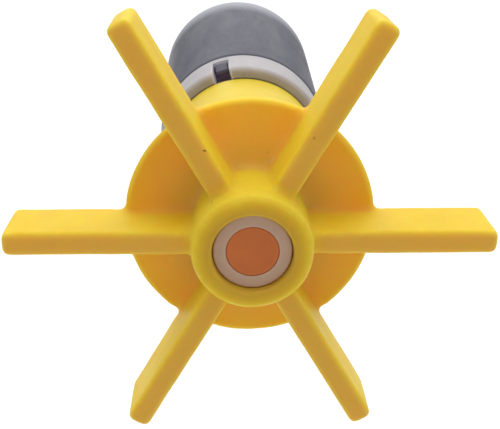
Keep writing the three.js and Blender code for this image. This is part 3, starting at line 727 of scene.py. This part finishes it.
def ring_housing():
    """Toothed housing with a window for the motor cover's latch."""
    outline = rounded([
        (TOOTH_TIP_R, SPIGOT_FRONT, 0), (SPIGOT_R, SPIGOT_FRONT, 0.3),
        (SPIGOT_R, NOSE_SEAT, 0), (NOSE_SEAT_R, NOSE_SEAT, 0), (NOSE_SEAT_R, RING_FRONT, 0.05),
        (RING_R, RING_FRONT, 1.55), (RING_R, RING_REAR, 0.3), (PLATE_ROOM_R, RING_REAR, 0),
        (PLATE_ROOM_R, PLATE_ROOM, 0), (HEAD_ROOM_R, PLATE_ROOM, 0),
        (HEAD_ROOM_R, TEETH_REAR, 0), (TOOTH_TIP_R, TEETH_REAR, 0),
    ])

    def radius_at(index, angle, radius, station):
        return tooth_radius(angle) if radius == TOOTH_TIP_R else radius

    piece = swept("ring_housing_moulding", outline, even_angles(RING_TEETH * 8), radius_at)
    carve(piece, [slot_tool(*sizes) for sizes in (
        ("window", SLOT_FLOOR_R, 16.0, 36.0, SLOT_END, 0.2),
        ("pit", PIT_FLOOR_R, 12.5, 38.0, PIT_END, 0.2),
        ("tunnel", SLOT_FLOOR_R, BRIDGE_R, 45.0, 50.0, 0.1),
    )])
    finish_piece(piece, "ring_gear_housing", "housing", "white")


# ---- motor cover, cap, gland and screws ----------------------------------------

LATCH_HALF = 1.0
LATCH_CHAMFER = 0.12
LATCH_MIDDLE_R = 12.5
COVER_FRONT = 48.1
COVER_REAR = 95.0
COVER_FRONT_R = 13.7
COVER_REAR_R = 15.1
COVER_SHOULDER = 93.4
COVER_RIM_R = 13.5
COVER_BORE_R = 12.45
CAP_SEAT_R = 12.4
CAP_SEAT = 90.9
CAP_FRONT = 91.2
CAP_REAR = 93.8
CAP_R = 12.2
CAP_BORE_R = 3.4
DISH_FLOOR = 93.4
GLAND_BORE_R = 1.5
GLAND_FLANGE_R = 4.1
GLAND_NECK_R = 3.2
GLAND_FRONT = 89.6
GLAND_REAR = 96.4


def latch(bm):
    """Ramped hook in the ring housing's window, drawn in side view and given a width."""
    profile = rounded([
        (12.5, 48.4, 0), (12.95, 48.4, 0), (12.95, 45.5, 0.1), (13.3, 45.5, 0.1), (13.3, 44.6, 0.4),
        (12.5, 43.3, 0.2), (11.9, 43.3, 0.1), (11.9, 47.7, 0), (12.5, 47.7, 0),
    ], steps=4)
    turn = turned_to(SLOT_ANGLE)
    layers = []
    for side, inset in (
        (-LATCH_HALF, LATCH_CHAMFER), (LATCH_CHAMFER - LATCH_HALF, 0),
        (LATCH_HALF - LATCH_CHAMFER, 0), (LATCH_HALF, LATCH_CHAMFER),
    ):
        layers.append([bm.verts.new(turn(shrunk(point, inset, side))) for point in profile])
    for first, second in zip(layers, layers[1:]):
        for index in range(len(profile)):
            after = (index + 1) % len(profile)
            bm.faces.new((first[index], first[after], second[after], second[index]))
    bm.faces.new(layers[0])
    bm.faces.new(layers[-1])


def shrunk(point, inset, side):
    """Outline point pulled towards the outline's middle height by an inset."""
    outwards, station = point
    pull = max(-inset, min(inset, LATCH_MIDDLE_R - outwards))
    return (outwards + pull, station, side)


def motor_cover():
    """Tapered cover with a soft rear edge, and the latch on its front rim."""
    outline = rounded([
        (COVER_BORE_R, COVER_FRONT, 0.2), (COVER_FRONT_R, COVER_FRONT, 0.5),
        (COVER_REAR_R, COVER_SHOULDER, 1.6), (COVER_RIM_R, COVER_REAR, 0.8),
        (CAP_SEAT_R, COVER_REAR, 0.3), (CAP_SEAT_R, CAP_SEAT, 0), (COVER_BORE_R, CAP_SEAT, 0),
    ], steps=8)
    piece = swept("motor_cover_shell", outline, even_angles(160))
    bm = bmesh.new()
    bm.from_mesh(piece.data)
    latch(bm)
    bmesh.ops.recalc_face_normals(bm, faces=bm.faces)
    bm.to_mesh(piece.data)
    bm.free()
    finish_piece(piece, "motor_cover", "housing", "grey", sharp=50)


def rear_cap():
    """Cap with a shallow round dish in its outer face."""
    outline = rounded([
        (CAP_BORE_R, CAP_FRONT, 0), (CAP_R, CAP_FRONT, 0.2), (CAP_R, CAP_REAR, 0.4),
        (8.2, CAP_REAR, 0.2), (8.0, DISH_FLOOR, 0.2), (5.6, DISH_FLOOR, 0.2), (5.4, CAP_REAR, 0.2),
        (CAP_BORE_R, CAP_REAR, 0.2),
    ])
    piece = swept("rear_cap_disc", outline, even_angles(120))
    finish_piece(piece, "rear_cap", "housing", "cap_grey")


def gland():
    """Rubber gland: a flange inside, a neck in the cap and three ribs outside."""
    corners = [
        (GLAND_BORE_R, GLAND_FRONT, 0), (GLAND_FLANGE_R, GLAND_FRONT, 0),
        (GLAND_FLANGE_R, 91.0, 0), (GLAND_NECK_R, 91.0, 0), (GLAND_NECK_R, 94.0, 0),
        (GLAND_FLANGE_R, 94.0, 0.25), (4.0, 94.7, 0.15), (3.6, 94.8, 0.1), (3.6, 95.1, 0.1),
        (3.9, 95.2, 0.15), (3.8, 95.7, 0.15), (3.4, 95.8, 0.1), (3.4, 96.0, 0.1),
        (3.6, 96.1, 0.1), (3.5, GLAND_REAR, 0.2), (GLAND_BORE_R, GLAND_REAR, 0.25),
    ]
    piece = swept("cord_gland_rubber", rounded(corners, steps=3), even_angles(72))
    finish_piece(piece, "cord_gland", "housing", "black_rubber")


SCREW_CIRCLE_R = 9.6
CAP_SCREWS = 3
RECESS_TURN = 0.35


def cap_screw(number):
    """Pan-headed screw with a cross recess."""
    angle = math.radians(90) + TAU * (number - 1) / CAP_SCREWS
    piece = swept(f"cap_screw_{number}_turned", rounded([
        (0, 95.3, 0), (1.5, 95.28, 0.4), (2.0, 94.6, 0.3), (2.0, 94.1, 0.1),
        (0.95, 94.1, 0), (0.95, 88.3, 0.2), (0.6, 88.0, 0), (0, 88.0, 0),
    ]), even_angles(64))
    carve(piece, [
        rounded_block("slot", (-1.15, 94.75, -0.19), (1.15, 96.0, 0.19), 0.08, turn)
        for turn in (RECESS_TURN, RECESS_TURN + TAU / 4)
    ])
    shift = Vector((SCREW_CIRCLE_R * MM * math.cos(angle), 0, SCREW_CIRCLE_R * MM * math.sin(angle)))
    piece.data.transform(Matrix.Translation(shift))
    finish_piece(piece, f"cap_screw_{number}", "housing", "steel")


paddle_wheel()
shaft_sleeve()
spindle()
nose()
ring_housing()
motor_cover()
rear_cap()
gland()
for number in range(1, CAP_SCREWS + 1):
    cap_screw(number)


# ---- carried-over CAD nodes ------------------------------------------------------

SLOTS = {part["node"]: part["material_slot"] for part in frame["record"]["subparts"]}
for name, node in frame["nodes"].items():
    look = LOOKS[SLOTS[name]]
    if not node.data.materials:
        node.data.materials.append(look)
    for index in range(len(node.data.materials)):
        node.data.materials[index] = look


# ---- stage, light and camera -------------------------------------------------------

FLOOR_Z = -0.16
FLOOR_HALF = 30.0
WORLD_LIGHT = 0.32
LENS = 61.35
CAMERA_PLACE = (-0.00369, -0.16051, 0.04222)
CAMERA_TURN = (65.09, -0.52, -1.87)


def floor():
    bm = bmesh.new()
    bmesh.ops.create_grid(bm, x_segments=2, y_segments=2, size=FLOOR_HALF)
    obj = to_object("studio_floor", bm)
    obj.location.z = FLOOR_Z
    n = Nodes("floor_paint")
    n.link(n.blend(n.noise(3.0), (0.83, 0.83, 0.83), (0.85, 0.85, 0.85)), n.shader.inputs["Base Color"])
    n.shader.inputs["Roughness"].default_value = 0.9
    obj.data.materials.append(n.material)


def softbox(name, position, target, size, power):
    light = bpy.data.lights.new(name, "AREA")
    light.shape = "RECTANGLE"
    light.size, light.size_y = size
    light.energy = power
    obj = bpy.data.objects.new(name, light)
    obj.location = position
    aim = Vector(target) - Vector(position)
    obj.rotation_euler = aim.to_track_quat("-Z", "Y").to_euler()
    obj.visible_camera = False
    bpy.context.collection.objects.link(obj)


def sun(name, towards, strength, spread):
    light = bpy.data.lights.new(name, "SUN")
    light.energy = strength
    light.angle = math.radians(spread)
    obj = bpy.data.objects.new(name, light)
    obj.rotation_euler = Vector(towards).to_track_quat("-Z", "Y").to_euler()
    bpy.context.collection.objects.link(obj)


floor()
sun("high_light", (0.0, -0.15, -1.0), 1.0, 100)
softbox("key_light", (0.02, 0.0, 0.28), (0.0, 0.0, 0.0), (0.5, 0.5), 0.52)
softbox("background_light", (0.0, 0.75, 0.20), (0.0, 0.75, FLOOR_Z), (2.4, 1.3), 9.5)

bpy.context.scene.view_settings.view_transform = "Standard"
world = bpy.data.worlds.new("studio")
bpy.context.scene.world = world
world.use_nodes = True
background = world.node_tree.nodes["Background"]
background.inputs["Color"].default_value = (1.0, 1.0, 1.0, 1.0)
background.inputs["Strength"].default_value = WORLD_LIGHT

camera_data = bpy.data.cameras.new("camera")
camera_data.lens = LENS
camera_data.sensor_width = 36.0
camera_data.shift_y = 0.08
camera_data.clip_start = 0.005
camera = bpy.data.objects.new("camera", camera_data)
camera.location = CAMERA_PLACE
camera.rotation_euler = Euler([math.radians(angle) for angle in CAMERA_TURN])
bpy.context.collection.objects.link(camera)
bpy.context.scene.camera = camera
